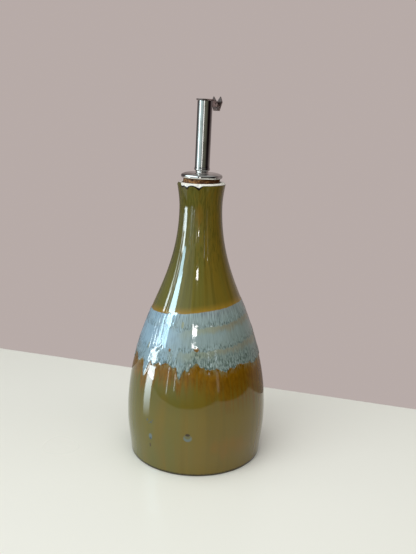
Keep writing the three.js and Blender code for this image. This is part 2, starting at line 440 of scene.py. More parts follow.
def band_beads(here, edge):
    beads = roll(edge.first) * FIRST_BEAD + roll(edge.second) + roll(edge.last) * LAST_BEAD
    beads = beads * smooth((here.bearing - EVEN_SPOT).math("ABSOLUTE"), *EVEN_REACH)
    return beads * (1 - smooth(here.sine, *LEFT_FLANK) * FLANK_LOSS)


def band_ripple(here, edge):
    """Fine ripples all round, and upright folds in the upper rows of the left flank."""
    ripple = streaks(here, 1.3, 14, seed=21) - 0.5
    folds = streaks(here, 2.1, 60, seed=24, detail=1) - 0.5
    folds = folds * smooth(here.sine, *FOLD_FLANK) * smooth(edge.second, *FOLD_ROWS)
    return ripple + folds * FOLD_HEIGHT

# %% [markdown]
# ## Chips in the lip
# Knocks broke three flakes from the real lip, and cream clay shows in them. A Boolean could cut
# them, but its hard edges would need mending. Here a chip is one more rule: above the lowered
# edge of the glaze it takes a little radius off the wall.

# %% Chips in the lip
BARE_MARGIN = 1.05  # the glaze stops this far below the rim
COVERED_FROM = (-54, -62)  # bearings between which the glaze reaches a millimetre higher
COVERED_TO = (-140, -110)
MARGIN_WANDER = 0.5
CHIP_POINT = 1.4  # higher makes chips more pointed
CHIP_SLOPE = (-0.1, 2.6)  # heights above the glaze over which a chip deepens
WHOLE_BELOW = (-0.2, -0.3)
NO_CUT = 0.01
# Half widths in degrees, drop of the glaze below its margin, depth into the wall
Chip = namedtuple("Chip", "bearing left right drop depth")
CHIPS = [
    Chip(-51.0, left=6.0, right=9.0, drop=0.8, depth=0.5),
    Chip(-36.7, left=12.0, right=11.0, drop=1.3, depth=1.1),
    Chip(-5.5, left=14.0, right=11.0, drop=1.5, depth=1.3),
]


def chip_shares(here):
    """For each chip 1 at its tip, and 0 beyond its sides."""
    shares = []
    for chip in CHIPS:
        beside = here.bearing - chip.bearing
        reach = (beside / chip.right).math("MAXIMUM", beside / -chip.left)
        shares.append((1 - reach).math("MAXIMUM", 0.0) ** CHIP_POINT)
    return shares


def deepest(shares, sizes):
    """The greatest of some shares of some sizes."""
    most = 0.0
    for share, size in zip(shares, sizes):
        most = (share * size).math("MAXIMUM", most)
    return most


def lip_edge(here, shares):
    """Height above the upper edge of the glaze, which the chips lower."""
    drop = deepest(shares, [chip.drop for chip in CHIPS])
    wander = streaks(here, 1.4, 6, seed=51) - 0.5
    covered = smooth(here.bearing, *COVERED_FROM) * smooth(here.bearing, *COVERED_TO)
    return here.height - (MOUTH_HEIGHT - BARE_MARGIN) - covered + drop + wander * MARGIN_WANDER


def chipped_radius(here):
    """The most radius that the chips leave."""
    shares = chip_shares(here)
    above = lip_edge(here, shares)
    cut = deepest([share**0.5 for share in shares], [chip.depth for chip in CHIPS])
    flared = (LIP.height - here.height).math("MAXIMUM", 0.0) * LIP.lean
    wall = LIP.radius - flared - cut * smooth(above, *CHIP_SLOPE)
    whole = smooth(above, *WHOLE_BELOW).math("MAXIMUM", smooth(cut, NO_CUT, 0.0))
    return here.radius.math("MINIMUM", wall + whole * BELLY_RADIUS * 2)


print("chips:", len(CHIPS), "the deepest", max(chip.depth for chip in CHIPS), "mm")

# %% Relief tree
NECK_RIDGES = (138, 156)
RUNS_TOP = (MOUTH_HEIGHT - 1.5, MOUTH_HEIGHT - 9)
RUNS_FOOT = (0.5, 12)
RELIEF_SIZES = {"Band thickness": 0.30, "Bead height": 0.20, "Ripple height": 0.035, "Run height": 0.16}


def relief_tree():
    tree, given = new_tree("glaze relief", {
        "Wall": "Geometry",
        **dict.fromkeys(RELIEF_SIZES, "Float"),
        "Material": "Material",
    })
    place = shaped(tree, "InputPosition")
    here = around_bottle(place)
    edge = band_edges(here)
    band = smooth(edge.top, 0.5, -0.6) * smooth(edge.last, -0.5, 0.6)
    swell = given["Band thickness"] + band_beads(here, edge) * given["Bead height"]
    swell = swell + band_ripple(here, edge) * given["Ripple height"]
    runs = streaks(here, 5, 90, seed=22) - 0.5
    ridges = (streaks(here, 3.0, 150, seed=23) - 0.5) * smooth(here.height, *NECK_RIDGES)
    glazed = smooth(here.height, *RUNS_TOP) * smooth(here.height, *RUNS_FOOT)
    thick = band * swell + glazed * (runs + ridges) * given["Run height"]
    offset = scaled(shaped(tree, "InputNormal"), thick * MM)
    raised = shaped(tree, "SetPosition", {"Geometry": given["Wall"], "Offset": offset})
    share = chipped_radius(here) / here.radius
    inward = {0: place, 1: vector(tree, share, share, 1.0)}
    knocked = Wire.node(tree, "ShaderNodeVectorMath", {"operation": "MULTIPLY"}, inward)
    chipped = shaped(tree, "SetPosition", {"Geometry": raised, "Position": knocked})
    finish_tree(tree, chipped, given["Material"])
    return tree


relief = relief_tree()
print("relief tree:", len(relief.nodes), "nodes")

# %% [markdown]
# ## Glaze colours
# Olive glaze breaks to amber where it is thin: in a line above the band and in a broad zone
# below it. The blue is thickest at the middle of each pass and lets straw show between them.
# All of it is one clear, glossy coat, so only the colour and a little of the gloss change.

# %% Colours of the glaze
OLIVE_GREEN = (0.118, 0.110, 0.022)
OLIVE_BROWN = (0.156, 0.106, 0.012)
OLIVE_DARK = (0.070, 0.058, 0.007)
RUST = (0.200, 0.096, 0.006)
AMBER = (0.172, 0.076, 0.002)
AMBER_LIGHT = (0.235, 0.112, 0.005)
AMBER_DARK = (0.110, 0.048, 0.001)
HONEY = (0.265, 0.156, 0.020)
THIN_BLUE = (0.155, 0.142, 0.065)
BLUE_GREY = (0.225, 0.283, 0.262)
PERIWINKLE = (0.250, 0.382, 0.490)
PALE_BLUE = (0.330, 0.415, 0.410)
LILAC = (0.225, 0.240, 0.255)
GREY_GREEN = (0.185, 0.225, 0.185)
DEEP_BLUE = (0.070, 0.105, 0.125)
DEEP_GREEN = (0.058, 0.088, 0.068)
STRAW = (0.260, 0.280, 0.180)
TAN = (0.225, 0.190, 0.110)
CREAM = (0.690, 0.670, 0.600)
# near black: painted shade at the foot, and the dark line at the lip's glaze edge
SHADE_AND_LIP_BLACK = (0.012, 0.009, 0.007)
CLAY = (0.420, 0.330, 0.240)

# %% [markdown]
# ## Spots and stains
# A few spots in the real glaze are dark or blue, and soft rusty stains lie here and there. An
# image could hold them, but it would blur close up. Each is an ellipse with a place, a size and
# a paint instead, so it stays sharp at any distance.

# %% Spots and stains
SPOT_RING = (0.115, 0.160, 0.155)
SPOT_MOSS = (0.125, 0.112, 0.040)
SPOT_HEART = (0.022, 0.009, 0.006)
DROP_GREY = (0.110, 0.150, 0.155)
DROP_BLUE = (0.035, 0.060, 0.085)
DROP_BROWN = (0.055, 0.030, 0.014)
FLECK_BLUE = (0.060, 0.085, 0.100)
FLECK_GREY = (0.070, 0.085, 0.085)
# Spots in the glaze: bearing, height, width, height of the spot, colour
SPOTS = [
    (-5.9, 29.2, 3.0, 2.6, SPOT_RING),
    (-5.9, 30.4, 2.3, 2.0, SPOT_MOSS),
    (-5.9, 31.6, 1.7, 1.0, SPOT_HEART),
    (-38.0, 25.2, 1.6, 2.2, DROP_GREY),
    (-38.0, 23.6, 0.9, 1.0, DROP_BLUE),
    (-38.6, 18.4, 0.7, 1.6, DROP_BROWN),
    (-41.5, 36.4, 0.7, 0.9, FLECK_BLUE),
    (-37.6, 35.6, 0.8, 0.8, FLECK_BLUE),
    (-36.2, 37.2, 0.5, 0.6, FLECK_GREY),
    (-39.6, 34.6, 0.5, 0.5, FLECK_GREY),
    (-0.8, 87.9, 1.7, 1.4, AMBER),
    (-17.0, 102.6, 0.9, 2.2, STRAW),
    (-54.0, 84.8, 0.7, 2.6, STRAW),
    (-27.0, 86.1, 0.9, 1.2, AMBER),
]
# Soft stains: bearing, height, width, height of the stain, colour
STAINS = [
    (-3.0, 173.0, 3.4, 8.0, RUST),
    (13.0, 174.0, 3.0, 12.0, OLIVE_DARK),
    (-20.0, 172.0, 2.0, 10.0, OLIVE_DARK),
    (30.0, 20.0, 16.0, 9.0, RUST),
]
SPOT_SHARE = 0.9
SPOT_STEP = (1.2, 0.5)
STAIN_SHARE = 0.45
STAIN_STEP = (1.3, 0.0)
STAIN_FRAY = 3.0


def spot_reach(here, bearing, height, width, tall):
    """Squared distance from the middle of a spot: 1 at its edge."""
    beside = (here.bearing - bearing) * here.radius / (DEGREES * width)
    above = (here.height - height) / tall
    return beside * beside + above * above


def marked(here, tint, marks, share, step, fray=None):
    """A colour with marks over it. The step says how soft their edge is, and fray makes it ragged."""
    for *place, paint in marks:
        reach = spot_reach(here, *place)
        reach = reach + fray if fray else reach
        tint = mixed(smooth(reach, *step) * share, tint, paint)
    return tint


print("marks in the glaze:", len(SPOTS), "spots and", len(STAINS), "stains")

# %% [markdown]
# ## Olive and amber
# The olive coat is streaked from top to bottom, and below the band it turns to mottled amber. One
# noise would look like marble, so three grains, drawn out along the wall, are laid over each
# other as thin coats of paint.

# %% Colour of the olive glaze
WARM_FOOT = (80, 50)
NEAR_BAND = (-22.0, -2.0)
NECK_BLOTCHES = (120, 155)
NECK_FLANK = (-0.35, -0.9)
MIDDLE_TOP = (88, 72)
MIDDLE_FOOT = (38, 55)
HONEY_LINE = (5.0, 0.0)


def olive_grain(here):
    """Three grains of the olive glaze, from broad clouds to fine streaks."""
    return SimpleNamespace(
        broad=streaks(here, 11, 70, seed=31),
        ribbon=streaks(here, 5, 120, seed=33, detail=3),
        fine=streaks(here, 1.6, 60, seed=32, detail=3),
    )


def olive_colour(here, edge, grain):
    """Green to brown, with ribbons and rusty streaks, and a honey line above the band."""
    low = smooth(here.height, *WARM_FOOT)
    warm = smooth(here.sine * 0.45 + grain.broad + low * 0.22, 0.30, 0.85)
    near = smooth(edge.last, *NEAR_BAND)
    upper = smooth(here.height, *NECK_BLOTCHES)
    blotch = streaks(here, 2.6, 6, seed=35, detail=3)
    middle = smooth(here.height, *MIDDLE_TOP) * smooth(here.height, *MIDDLE_FOOT)
    above_band = smooth(edge.top, *HONEY_LINE) * smooth(edge.top, -2.0, -0.5)
    return coats(mixed(warm, OLIVE_GREEN, OLIVE_BROWN), [
        (smooth(grain.ribbon, 0.48, 0.70) * (0.2 + near * 0.37), OLIVE_DARK),
        (smooth(grain.fine, 0.52, 0.72) * (0.25 - near * 0.05), RUST),
        (upper * smooth(blotch, 0.48, 0.62) * 0.6, OLIVE_DARK),
        (upper * smooth(blotch, 0.45, 0.35) * 0.3, RUST),
        (upper * smooth(here.sine, *NECK_FLANK) * 0.4, OLIVE_DARK),
        (middle * 0.2, OLIVE_DARK),
        (above_band * (0.35 + grain.fine), HONEY),
    ])

# %% Colour of the amber zone
AMBER_DEPTH = 15  # how far amber reaches below the band
AMBER_RIGHT = 13  # how much further at the right
AMBER_SWAY = 12  # how much that depth varies
AMBER_FRAY = 2.0  # how ragged its end is
BELOW_TOP = (-1.0, -4.0)
POOL_SIDE = (0.10, 0.45)
POOL_TOP = (-3.0, -9.0)
THIN_EDGE = (-5.0, -0.3)


def amber_colour(here, edge, grain, tint):
    """Mottled amber below the band, with a film of blue under its last edge."""
    depth = AMBER_DEPTH + AMBER_RIGHT * smooth(here.sine, -0.1, 0.45) + AMBER_SWAY * (grain.broad - 0.5)
    below = smooth(edge.top, *BELOW_TOP)
    fade = smooth(edge.last / depth + (grain.fine - 0.5) * AMBER_FRAY, -1.15, -0.2) * below
    mottle = streaks(here, 1.4, 4, seed=34, detail=5)
    pooled = fade * smooth(here.sine, *POOL_SIDE) * smooth(edge.last, *POOL_TOP)
    thin = smooth(edge.last, *THIN_EDGE) * below
    return coats(tint, [
        (fade * 0.95, AMBER),
        (fade * smooth(mottle, 0.50, 0.62) * 0.4, AMBER_LIGHT),
        (fade * smooth(mottle, 0.48, 0.36) * 0.7, AMBER_DARK),
        (pooled * 0.4, AMBER_DARK),
        (fade * smooth(grain.fine, 0.48, 0.30) * 0.45, OLIVE_DARK),
        (thin * smooth(mottle, 0.40, 0.58) * 0.7, THIN_BLUE),
    ])

# %% [markdown]
# ## The blue band
# Each pass of blue ends in fine pale and dark dashes, where the glaze crawled. They could be
# painted by hand. Here they hang on the edges found above, so colour and relief end at one line.

# %% Colour of the blue band
BLUE_SIDE = (-0.09, -0.67)
LILAC_SIDE = (-0.09, 0.34)
GREEN_SIDE = (0.15, 0.75)
STRIPE_DEPTH = 3.6
STRIPE_SHARES = (0.7, 0.6)  # how strongly straw shows below the first and the second edge
# Pale and dark dashes at the lower end of each pass
GATHER_PALE = (0.55, 0.20, 0.40)
GATHER_DARK = (0.70, 0.80, 0.80)


def band_colour(here, edge):
    """Blue to grey, with straw between the passes and dashes at their lower ends."""
    fibre = streaks(here, 0.7, 7, seed=41, detail=3)
    dash = streaks(here, 0.62, 2.3, seed=42, detail=3)
    cloud = streaks(here, 8, 10, seed=43)
    in_first = smooth(edge.first, -0.4, 0.3)
    in_last = smooth(edge.second, 0.3, -0.5)
    leftward = here.sine + (cloud - 0.5) * 0.9
    blue = smooth(leftward, *BLUE_SIDE)
    tint = mixed(0.12 + blue * 0.80, BLUE_GREY, PERIWINKLE)
    lilac = smooth(edge.top, -5.0, -1.5) * smooth(leftward, *LILAC_SIDE)
    tint = mixed(lilac * 0.6, tint, LILAC)
    greenish = in_last * 0.45 * (1 - blue * 0.5)
    tint = mixed(greenish.math("MAXIMUM", smooth(leftward, *GREEN_SIDE) * 0.5), tint, GREY_GREEN)
    for gap, share in zip((edge.first, edge.second), STRIPE_SHARES):
        spread = gap + STRIPE_DEPTH + (cloud - 0.5) * 6.0 + (dash - 0.5) * 3.0
        stripe = smooth(gap, 0.2, -0.8) * smooth(spread, -2.2, 1.4) * smooth(here.sine, -0.5, 0.2)
        tint = mixed(stripe * share, tint, mixed(smooth(here.sine, 0.0, 0.67), STRAW, TAN))
    tint = mixed(smooth(fibre, 0.50, 0.68) * (0.22 + in_first * 0.40), tint, PALE_BLUE)
    tint = mixed(smooth(fibre, 0.50, 0.34) * (0.22 + in_first * 0.42), tint, DEEP_BLUE)
    gathers = (
        in_first * smooth(edge.first, 5.5, 1.0),
        (1 - in_first) * (1 - in_last) * smooth(edge.second, 6.0, 1.0),
        in_last * smooth(edge.last, 12.0, 3.0),
    )
    for lower, pale, dark in zip(gathers, GATHER_PALE, GATHER_DARK):
        tint = mixed(lower * smooth(dash, 0.54, 0.68) * pale, tint, PALE_BLUE)
        tint = mixed(lower * smooth(dash, 0.52, 0.38) * dark, tint, DEEP_GREEN)
    rain = in_last * smooth(here.sine, -0.15, 0.1) * smooth(edge.last, 14.0, 6.0)
    tint = mixed(rain * smooth(dash, 0.56, 0.42) * 0.45, tint, DEEP_GREEN)
    rim = smooth(edge.last, 2.2, 0.8) * smooth(edge.last, 0.0, 0.5)
    return mixed(rim * smooth(dash, 0.60, 0.46) * 0.7, tint, DEEP_GREEN)

# %% [markdown]
# ## Foot and lip
# At the foot a dark line is painted shade where the bottle meets the floor. Along the lip the glaze
# stops in a dark line, and bare clay shows beyond it. A second material would meet it in a hard
# step, so masks in the same material do it.

# %% Colour of foot and lip
# the foot's dark line is painted shade where the bottle meets the floor; these heights fade it
FOOT_SHADE_FADE = (2.4, 0.9)
CHIPPED_FROM = (-60, -55)  # bearings between which the lip is chipped
CHIPPED_TO = (7, 0)
LIP_DARK_WIDTH = 0.35  # width of the dark line along the lip's glaze edge
LIP_DARK_CHIPPED = 0.25
LIP_DARK_TIP = 1.2


def shaded_and_worn_ends(here, tint):
    """Painted shade at the foot, dark-edged bare lip, clay underside. Also says where the wall is dull."""
    wander = streaks(here, 1.2, 8, seed=54) - 0.5
    shares = chip_shares(here)
    above = lip_edge(here, shares)
    chipped = smooth(here.bearing, *CHIPPED_FROM) * smooth(here.bearing, *CHIPPED_TO)
    line = LIP_DARK_WIDTH + chipped * LIP_DARK_CHIPPED + deepest(shares, [LIP_DARK_TIP] * len(shares))
    bare = smooth(above, -0.08, 0.08)
    under = smooth(here.height, 0.3, 0.1)
    tint = coats(tint, [
        # painted shade along the foot, where it meets the floor
        (smooth(here.height + wander * 1.5, *FOOT_SHADE_FADE) * 0.8, SHADE_AND_LIP_BLACK),
        (smooth(above / line, -1.2, -0.8) * (0.35 + chipped * 0.65), SHADE_AND_LIP_BLACK),
        (bare, CREAM),
        (under, CLAY),
    ])
    return tint, bare.math("MAXIMUM", under)

# %% [markdown]
# ## One material for the wall
# The fire melted all coats into one glass. So they end in one Principled shader: the colour, a
# roughness that rises on bare clay, and a faint ripple and peel as a bump.

# %% Glaze material
GLAZE_ROUGHNESS = 0.06
BAND_ROUGHNESS = 0.015  # more on the band
BARE_ROUGHNESS = 0.5  # more on bare clay
RIPPLE_BUMP = 0.012  # heights in millimetres
PEEL_BUMP = 0.010
PEEL_SIZE = 3.5
GLAZE_IOR = 1.5


def new_material(name):
    """An empty material with its shader, and the place of a point on the piece."""
    material = bpy.data.materials.new(name)
    material.use_nodes = True
    tree = material.node_tree
    shader = tree.nodes["Principled BSDF"]
    point = Wire.node(tree, "ShaderNodeTexCoord", output="Object")
    return material, shader, point


def plug(shader, name, value):
    """Set a shader's socket, by a link where the value changes over the surface."""
    if isinstance(value, Wire):
        value.tree.links.new(value.socket, shader.inputs[name])
    else:
        shader.inputs[name].default_value = value


def bump(height):
    """A normal from a height in millimetres."""
    sockets = {"Strength": 1.0, "Distance": MM, "Height": height}
    return Wire.node(height.tree, "ShaderNodeBump", None, sockets)


def stoneware_glaze():
    material, shader, point = new_material("stoneware glaze")
    here = around_bottle(point)
    edge = band_edges(here)
    grain = olive_grain(here)
    band = smooth(edge.top, 0.25, -0.2) * smooth(edge.last, -0.15, 0.3)
    tint = amber_colour(here, edge, grain, olive_colour(here, edge, grain))
    fray = (streaks(here, 4, 12, seed=55, detail=3) - 0.5) * STAIN_FRAY
    tint = marked(here, tint, STAINS, STAIN_SHARE, STAIN_STEP, fray)
    tint = mixed(band, tint, band_colour(here, edge))
    tint = marked(here, tint, SPOTS, SPOT_SHARE, SPOT_STEP)
    tint, dull = shaded_and_worn_ends(here, tint)
    ripple = streaks(here, 0.9, 10, seed=52, detail=3) - 0.5
    peel = noise(scaled(point, 1 / (PEEL_SIZE * MM)), 53) - 0.5
    plug(shader, "Base Color", tint)
    plug(shader, "Roughness", GLAZE_ROUGHNESS + band * BAND_ROUGHNESS + dull * BARE_ROUGHNESS)
    plug(shader, "Normal", bump(band * ripple * RIPPLE_BUMP + peel * PEEL_BUMP))
    plug(shader, "IOR", GLAZE_IOR)
    return material


glaze = stoneware_glaze()
print("glaze:", len(glaze.node_tree.nodes), "nodes")

# %% [markdown]
# ## The glazed bottle
# A potter throws the wall and glazes it later. Here too the turning tree makes the wall and the
# relief tree lies over it: two modifiers, which are then applied to leave a plain mesh.

# %% Turn and glaze the bottle
BOTTLE_SIDES = 396
bottle = run_trees("bottle_glazed", bottle_outline, [
    (turning, {"Sides": BOTTLE_SIDES, "Material": glaze}),
    (relief, {**RELIEF_SIZES, "Material": glaze}),
])
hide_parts("bottle")
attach(bottle, "cruet")

# %% [markdown]
# ## The cork
# A tapered cork seats the pourer. Only a low ring of it shows, stained by oil, with painted shade
# darkening its right side. The same turning tree makes it, and a second tree roughens it, because cork is
# pitted and never runs true.

# %% Lean of the pourer
STOPPER_LEAN = 1.2  # degrees, to the right
to_mouth = Matrix.Translation((0, 0, MOUTH_HEIGHT * MM))
to_pourer = to_mouth @ Matrix.Rotation(STOPPER_LEAN / DEGREES, 4, "Y")


def stand_in_neck(piece):
    """Move a turned piece into the leaning pourer."""
    piece.data.transform(to_pourer)
    piece.data.update()


print("the pourer leans", STOPPER_LEAN, "degrees to the right")

# %% Cork material
CORK_TAN = (0.400, 0.200, 0.065)
# dark cork grain, also the colour of the oil stains and of the painted shade on the right side
CORK_DARK = (0.075, 0.020, 0.002)
CORK_PIT = (0.025, 0.007, 0.001)
CORK_GRAIN = 1.5  # sizes of its grain, oil stains and pores
STAIN_SIZE = 6.0
PORE_WIDTH = 1.6
PORE_HEIGHT = 0.45
RIGHT_SHADE_SLANT = 0.018  # painted shade: the right side is darkened
GRAIN_BUMP = 0.12
PIT_BUMP = 0.15


def oiled_cork():
    material, shader, point = new_material("oiled cork")
    grain = noise(scaled(point, 1 / (CORK_GRAIN * MM)), 61, detail=4, roughness=0.65)
    stain = noise(scaled(point, 1 / (STAIN_SIZE * MM)), 62)
    x, y, height = split(scaled(point, 1 / MM))
    pores = noise(vector(point.tree, x / PORE_WIDTH, y / PORE_WIDTH, height / PORE_HEIGHT), 63)
    # oil stains, and painted shade that darkens the right side
    oil_and_shade = smooth(stain + x * RIGHT_SHADE_SLANT, 0.42, 0.68)
    pit = smooth(pores, 0.44, 0.36)
    plug(shader, "Base Color", coats(mixed(smooth(grain, 0.42, 0.60), CORK_DARK, CORK_TAN), [
        (oil_and_shade * 0.85, CORK_DARK),
        (pit * 0.85, CORK_PIT),
    ]))
    plug(shader, "Roughness", 0.72 + grain * 0.2)
    plug(shader, "Normal", bump(grain * GRAIN_BUMP - pit * PIT_BUMP))
    plug(shader, "Specular IOR Level", 0.2)
    return material


cork_finish = oiled_cork()
print("cork finish:", len(cork_finish.node_tree.nodes), "nodes")

# %% Cork
CORK_SIDES = 240
CORK_RADIUS = 12.4
CORK_END_RADIUS = 11.6
CORK_DEPTH = 20.0
CORK_SHOW = 2.4
CORK_EDGE = 0.5
CORK_TAPER = 3.0  # the taper starts this far below the mouth
CORK_EASE = 0.1
CORK_START = -0.6  # the rows of the ring that shows start here
CORK_ROWS = 10
PIT_DEPTH = 0.22
LUMP_SIZE = 1.3


def pitting_tree():
    tree, given = new_tree("pitted skin", {"Skin": "Geometry", "Pit depth": "Float", "Material": "Material"})
    place = shaped(tree, "InputPosition")
    lumps = noise(scaled(place, 1 / (LUMP_SIZE * MM)), 64, detail=3)
    normal = shaped(tree, "InputNormal")
    offset = scaled(normal, smooth(lumps, 0.62, 0.30) * given["Pit depth"] * -MM)
    pitted = shaped(tree, "SetPosition", {"Geometry": given["Skin"], "Offset": offset})
    finish_tree(tree, pitted, given["Material"])
    return tree


ring = CORK_SHOW - CORK_START - CORK_EDGE
cork_outline = [
    (0.0, -CORK_DEPTH),
    (CORK_END_RADIUS - CORK_EDGE, -CORK_DEPTH),
    (CORK_END_RADIUS, -CORK_DEPTH + CORK_EDGE),
    (CORK_RADIUS - CORK_EASE, -CORK_TAPER),
    *[(CORK_RADIUS, CORK_START + ring * row / CORK_ROWS) for row in range(CORK_ROWS + 1)],
    (CORK_RADIUS - CORK_EDGE / 4, CORK_SHOW - CORK_EDGE / 3),
    (CORK_RADIUS - CORK_EDGE / 2, CORK_SHOW),
    (0.0, CORK_SHOW),
]
cork = run_trees("cork_oiled", cork_outline, [
    (turning, {"Sides": CORK_SIDES, "Material": cork_finish}),
    (pitting_tree(), {"Pit depth": PIT_DEPTH, "Material": cork_finish}),
])
stand_in_neck(cork)
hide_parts("cork")
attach(cork, "cruet")

# %% [markdown]
# ## The steel pourer
# Flange and tube are polished stainless steel. Polished metal is nearly all reflection, so its
# finish is a metallic shader with a low roughness, faint rubbed lines and finger marks that dull
# it here and there. The shapes are turned with small round edges, which catch the light.

# %% Steel material
STEEL = (0.800, 0.790, 0.770)
STEEL_DULL = (0.640, 0.620, 0.590)
STEEL_ROUGHNESS = 0.045
RUBBED_ROUGHNESS = 0.03  # more along the rubbed lines
MARK_ROUGHNESS = 0.06  # more on finger marks
RUB_WIDTH = 0.25
RUB_LENGTH = 4.0
MARK_SIZE = 5.0
DENT_SIZE = 8.0
DENT_BUMP = 0.006


def polished_steel():
    material, shader, point = new_material("polished steel")
    x, y, height = split(scaled(point, 1 / MM))
    rubbed = noise(vector(point.tree, x / RUB_WIDTH, y / RUB_WIDTH, height / RUB_LENGTH), 71, detail=3)
    marks = noise(scaled(point, 1 / (MARK_SIZE * MM)), 72, detail=4)
    dents = noise(scaled(point, 1 / (DENT_SIZE * MM)), 74, detail=0)
    dull = smooth(marks, 0.5, 0.75)
    plug(shader, "Base Color", mixed(smooth(marks, 0.45, 0.72), STEEL, STEEL_DULL))
    plug(shader, "Metallic", 1.0)
    plug(shader, "Roughness", STEEL_ROUGHNESS + rubbed * RUBBED_ROUGHNESS + dull * MARK_ROUGHNESS)
    plug(shader, "Normal", bump(dents * DENT_BUMP))
    return material


steel = polished_steel()
print("steel:", len(steel.node_tree.nodes), "nodes")

# %% [markdown]
# ## Flange
# The flange is a thick disc with a round edge and a low crown. A bevelled cylinder would be flat
# on top, so it is turned: an arc makes the edge, and a few points the crown.

# %% Flange
STEEL_SIDES = 128
FLANGE_RADIUS = 14.0
FLANGE_EDGE = 1.45
FLANGE_DOME = 0.5
SEAT_GAP = 0.2
# The crown from its edge to the tube: radius, and rise over the flange's thickness
FLANGE_CROWN = [(12.0, -0.15), (10.7, 0.18), (8.8, 0.34), (6.8, 0.26), (5.4, 0.10)]
flange_seat = CORK_SHOW + SEAT_GAP
flange_thick = 2 * FLANGE_EDGE + FLANGE_DOME


def raised(outline, lift):
    return [(radius, height + lift) for radius, height in outline]


flange_outline = [
    (0.0, 0.0),
    (FLANGE_RADIUS - 2 * FLANGE_EDGE, 0.0),
    *corner(FLANGE_RADIUS - FLANGE_EDGE, FLANGE_EDGE, FLANGE_EDGE, -90, 90, rows=18),
    *raised(FLANGE_CROWN, flange_thick),
    (0.0, flange_thick),
]
flange = run_trees("flange_polished", raised(flange_outline, flange_seat), [
    (turning, {"Sides": STEEL_SIDES, "Material": steel}),
])
stand_in_neck(flange)
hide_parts("flange")
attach(flange, "cruet")

# %% [markdown]
# ## Pour tube
# The tube is open, with a rolled bead above its foot. Solidify could thicken a single wall, but
# an outline that goes up outside and down the bore gives the wall and its rim in one turn.

# %% Pour tube
TUBE_RADIUS = 5.0
TUBE_WALL = 0.6
TUBE_LENGTH = 47.0
TUBE_EDGE = 0.2
TUBE_FOOT_RADIUS = 4.3
TUBE_FOOT = 0.7
BEAD_RADIUS = 5.3
BEAD_HEIGHT = 2.6
BEAD_HALF = 1.3
BEAD_FADE = 0.5
BEAD_EASE = 0.02
tube_seat = flange_seat + flange_thick + SEAT_GAP
bore = TUBE_RADIUS - TUBE_WALL
foot_bore = TUBE_FOOT_RADIUS - TUBE_WALL
bead_top = BEAD_HEIGHT + BEAD_HALF
bead_reach = BEAD_RADIUS - TUBE_FOOT_RADIUS
tube_outline = [
    (foot_bore, 0.0),
    (TUBE_FOOT_RADIUS, 0.0),
    (TUBE_FOOT_RADIUS, TUBE_FOOT),
    *corner(TUBE_FOOT_RADIUS, BEAD_HEIGHT, bead_reach, -90, 45, rows=14, rise=BEAD_HALF),
    (TUBE_RADIUS + BEAD_EASE, bead_top + BEAD_FADE / 2),
    (TUBE_RADIUS, bead_top + BEAD_FADE),
    (TUBE_RADIUS, bead_top + 2 * BEAD_FADE),
    (TUBE_RADIUS, TUBE_LENGTH - 3 * TUBE_EDGE),
    *corner(TUBE_RADIUS - TUBE_EDGE, TUBE_LENGTH - TUBE_EDGE, TUBE_EDGE, 0, 90, rows=4),
    *corner(bore + TUBE_EDGE, TUBE_LENGTH - TUBE_EDGE, TUBE_EDGE, 90, 180, rows=4),
    (bore, TUBE_LENGTH - 3 * TUBE_EDGE),
    (bore, bead_top + BEAD_FADE),
    (foot_bore, TUBE_FOOT),
    (foot_bore, 0.0),
]
tube = run_trees("pour_tube_polished", raised(tube_outline, tube_seat), [
    (turning, {"Sides": STEEL_SIDES, "Material": steel}),
])
stand_in_neck(tube)
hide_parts("pour_tube")
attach(tube, "cruet")

# %% [markdown]
# ## The hinge and the flap
# A flap closes the tube's mouth and swings on a pin. These small pieces are stamped from sheet
# and left unpolished, so their finish is a duller, hazy metal. Their solids already have the true
# shape: a copy of each is merged, its flat faces are joined and a bevel rounds its sharp edges.

# %% Stamped steel
STAMPED = (0.480, 0.385, 0.370)
STAMPED_DARK = (0.300, 0.235, 0.225)
HAZE_SIZE = 2.5
HAZE_BUMP = 0.008


def stamped_steel():
    material, shader, point = new_material("stamped steel")
    haze = noise(scaled(point, 1 / (HAZE_SIZE * MM)), 73)
    plug(shader, "Base Color", mixed(smooth(haze, 0.42, 0.66), STAMPED, STAMPED_DARK))
    plug(shader, "Metallic", 1.0)
    plug(shader, "Roughness", 0.30 + haze * 0.12)
    plug(shader, "Normal", bump(haze * HAZE_BUMP))
    return material


stamped = stamped_steel()
print("stamped steel:", len(stamped.node_tree.nodes), "nodes")

# %% Rounded copies of the hinge's solids
EDGE_ANGLE = 35 / DEGREES
FLAT_ANGLE = 2 / DEGREES
MERGE_REACH = 0.005
EDGE_STEPS = 3
SHEET_EDGE = 0.12
PIN_EDGE = 0.10


def rounded_copy(node, name, body, edge):
    """A copy of a solid with its flats joined and its edges rounded."""
    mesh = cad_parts[node].data.copy()
    shape = bmesh.new()
    shape.from_mesh(mesh)
    bmesh.ops.remove_doubles(shape, verts=shape.verts, dist=MERGE_REACH * MM)
    bmesh.ops.dissolve_limit(shape, angle_limit=FLAT_ANGLE, verts=shape.verts, edges=shape.edges)
    shape.to_mesh(mesh)
    shape.free()
    mesh.materials.clear()
    mesh.materials.append(stamped)
    piece = placed(name, mesh)
    bevel = piece.modifiers.new("round edges", "BEVEL")
    bevel.width = edge * MM
    bevel.segments = EDGE_STEPS
    bevel.limit_method = "ANGLE"
    bevel.angle_limit = EDGE_ANGLE
    keep_plain(piece)
    piece.data.shade_smooth()
    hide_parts(node)
    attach(piece, body)
    return piece


hinge = [
    rounded_copy("hinge_bracket", "hinge_bracket_rounded", "cruet", SHEET_EDGE),
    rounded_copy("hinge_pin", "hinge_pin_rounded", "cruet", PIN_EDGE),
    rounded_copy("flap", "flap_rounded", "flap", SHEET_EDGE),
]

